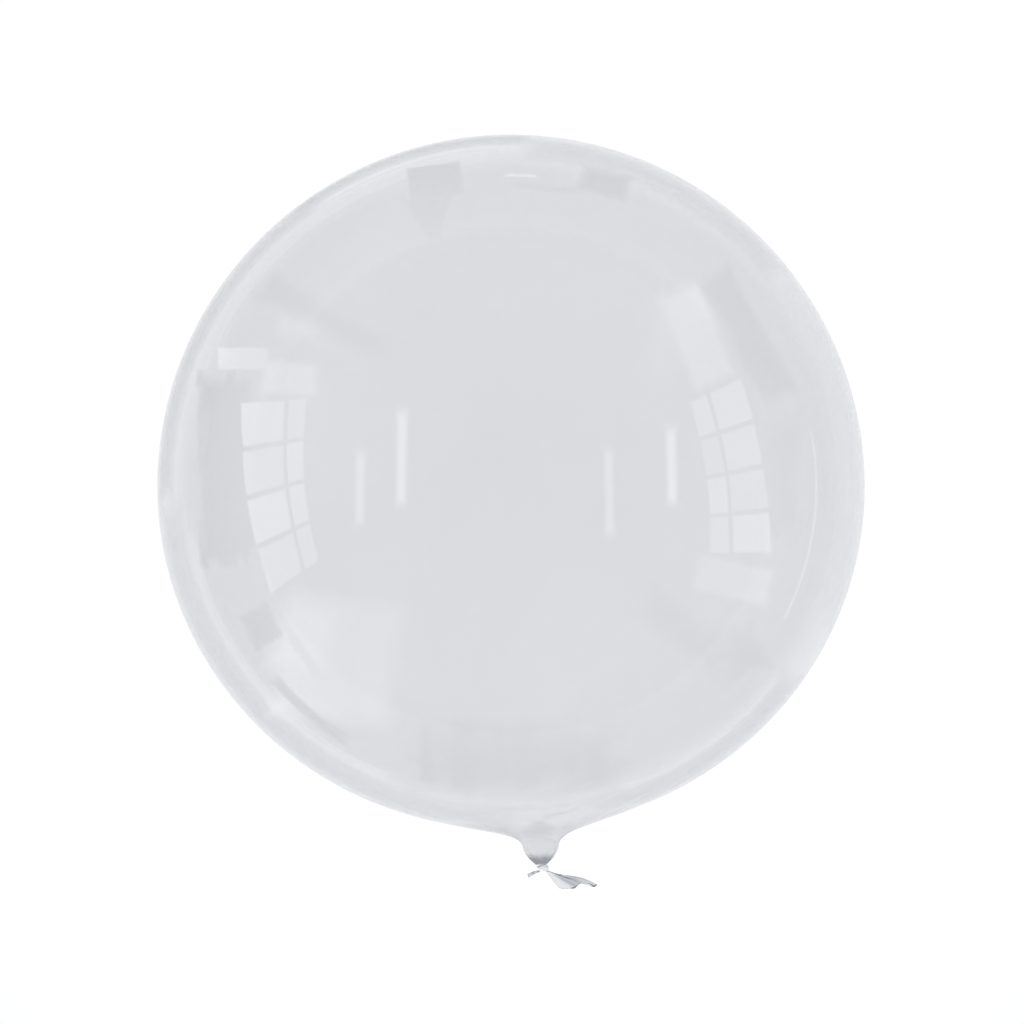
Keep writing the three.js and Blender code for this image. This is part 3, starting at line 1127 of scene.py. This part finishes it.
# Dark things: the near end of the room with its streaks, furniture, trees beyond the windows, and walls.
STREAKS = (
    ((-84, -264), (18, 66)),
    ((-48, -268), (34, 84)),
    ((-12, -262), (16, 58)),
    ((16, -272), (30, 76)),
    ((60, -266), (18, 60)),
    ((88, -270), (26, 48)),
)
straight_card("near end", middle=(6, -270), size=(250, 92), glow=0.2, soft=0.45, ragged=0.5)
for streak_middle, streak_size in STREAKS:
    straight_card("streak", middle=streak_middle, size=streak_size, glow=0.1, soft=0.5)
straight_card("left beam", middle=(-184, 168), size=(170, 44), glow=0.15, turn=-29, soft=0.6, ragged=0.3)
straight_card("left trees", middle=(-284, 18), size=(58, 200), glow=0.12, turn=1, soft=0.16, ragged=0.55)
straight_card("low box", middle=(-250, -139), size=(36, 44), glow=0.05, turn=30, soft=0.2, ragged=0.4)
straight_card("right beam", middle=(236, 151), size=(46, 160), glow=0.0, turn=29, soft=0.3, ragged=0.25)
straight_card("right trees", middle=(271, 12), size=(48, 150), glow=0.35, turn=-2, soft=0.45, ragged=0.7)
straight_card("table", middle=(176, -146), size=(58, 150), glow=0.2, turn=52, soft=0.5, ragged=0.3)
straight_card("chair", middle=(232, -162), size=(52, 62), glow=0.2, turn=20, soft=0.4, ragged=0.5)
bent_card("low edge", angles=(219, 239), shares=(0.85, 0.892), glow=0.25, soft=0.35, ragged=0.3)
straight_card("top box", middle=(-76, 306), size=(58, 36), glow=0.35, turn=8, soft=0.12, ragged=0.1)
straight_card(
    "top point", middle=(-80, 268), size=(54, 46), glow=0.35, turn=8, soft=0.14, ragged=0.1, taper=0.8
)
straight_card("top corner", middle=(93, 304), size=(60, 34), glow=0.2, turn=-14, soft=0.3, ragged=0.3)
straight_card("top ledge", middle=(36, 299), size=(70, 10), glow=0.5, turn=-5, soft=0.4)
straight_card("top lamp", middle=(10, 311), size=(38, 5), glow=1.8, turn=-2, soft=0.4)

# %% The windows, and the narrow lamps
LEFT_WINDOW = ((-273, 87), (-203, 90), (-191, -75), (-242, -111))
RIGHT_WINDOW = ((178, 86), (232, 112), (263, -68), (197, -68))
LAMP_GLOW = 4.0
DIM_LAMP_GLOW = 0.75 * LAMP_GLOW

add_window("left window", corners=LEFT_WINDOW, splits=(0, 0.71, 1), bow=-9, glow=2.5)
add_window("right window", corners=RIGHT_WINDOW, splits=(0, 0.34, 1), bow=7, glow=2.3)
straight_card("left lamp", middle=(-109, 29), size=(18, 112), glow=LAMP_GLOW, turn=-1, soft=0.45)
straight_card("right lamp", middle=(161, 21), size=(17, 92), glow=LAMP_GLOW, turn=1, soft=0.45)
straight_card("far left lamp", middle=(-151, -1), size=(17, 90), glow=DIM_LAMP_GLOW, turn=-1, soft=0.45)
straight_card("low right lamp", middle=(98, -6), size=(17, 106), glow=DIM_LAMP_GLOW, turn=1, soft=0.45)
straight_card("thin lamp", middle=(152, 180), size=(3, 62), glow=2.0, soft=0.5)
bent_card("right glint", angles=(12, -28), shares=(0.855, 0.869), glow=1.6, soft=0.5)
shoulder_card("shoulder", left=-0.034, right=0.062, start=0.246, end=0.305, lift=0.0142, glow=0.85, soft=0.25)
print("cards:", ", ".join(card_names))


# %% The cards' material
def make_cards():
    """Turn the cards into one piece of the stage, seen by reflected rays only."""
    mesh = bpy.data.meshes.new("studio_cards")
    cards.to_mesh(mesh)
    cards.free()
    material = bpy.data.materials.new("studio_card")
    material.use_nodes = True
    tree = material.node_tree
    tree.nodes.clear()
    texture_place = add_node(tree, "ShaderNodeTexCoord")
    x, y, _ = split(tree, texture_place.outputs["UV"])
    glow, soft, ragged, wide, tall = (mesh_value(tree, title) for title in CARD_VALUES)
    inside = (x.at_most(1.0 - x) * wide).at_most(y.at_most(1.0 - y) * tall)
    leaves = noise_field(tree, texture_place.outputs["Object"], scale=3.2, detail=3.0, roughness=0.62) - 0.5
    cover = ((inside + leaves * ragged) / soft).ease(0.0, 1.0)
    light = add_node(tree, "ShaderNodeEmission", None, {"Color": cool_light(tree, glow), "Strength": 1.0})
    clear = add_node(tree, "ShaderNodeBsdfTransparent")
    values = {0: cover, 1: clear.outputs[0], 2: light.outputs[0]}
    mixed = add_node(tree, "ShaderNodeMixShader", None, values)
    add_node(tree, "ShaderNodeOutputMaterial", None, {"Surface": mixed.outputs[0]})
    material.cycles.emission_sampling = "NONE"
    mesh.materials.append(material)
    stand = bpy.data.objects.new("studio_cards", mesh)
    bpy.context.scene.collection.objects.link(stand)
    stand.visible_camera = False
    stand.visible_diffuse = False
    stand.visible_transmission = False
    stand.visible_shadow = False
    print("card faces", len(mesh.polygons))


make_cards()

# %% [markdown]
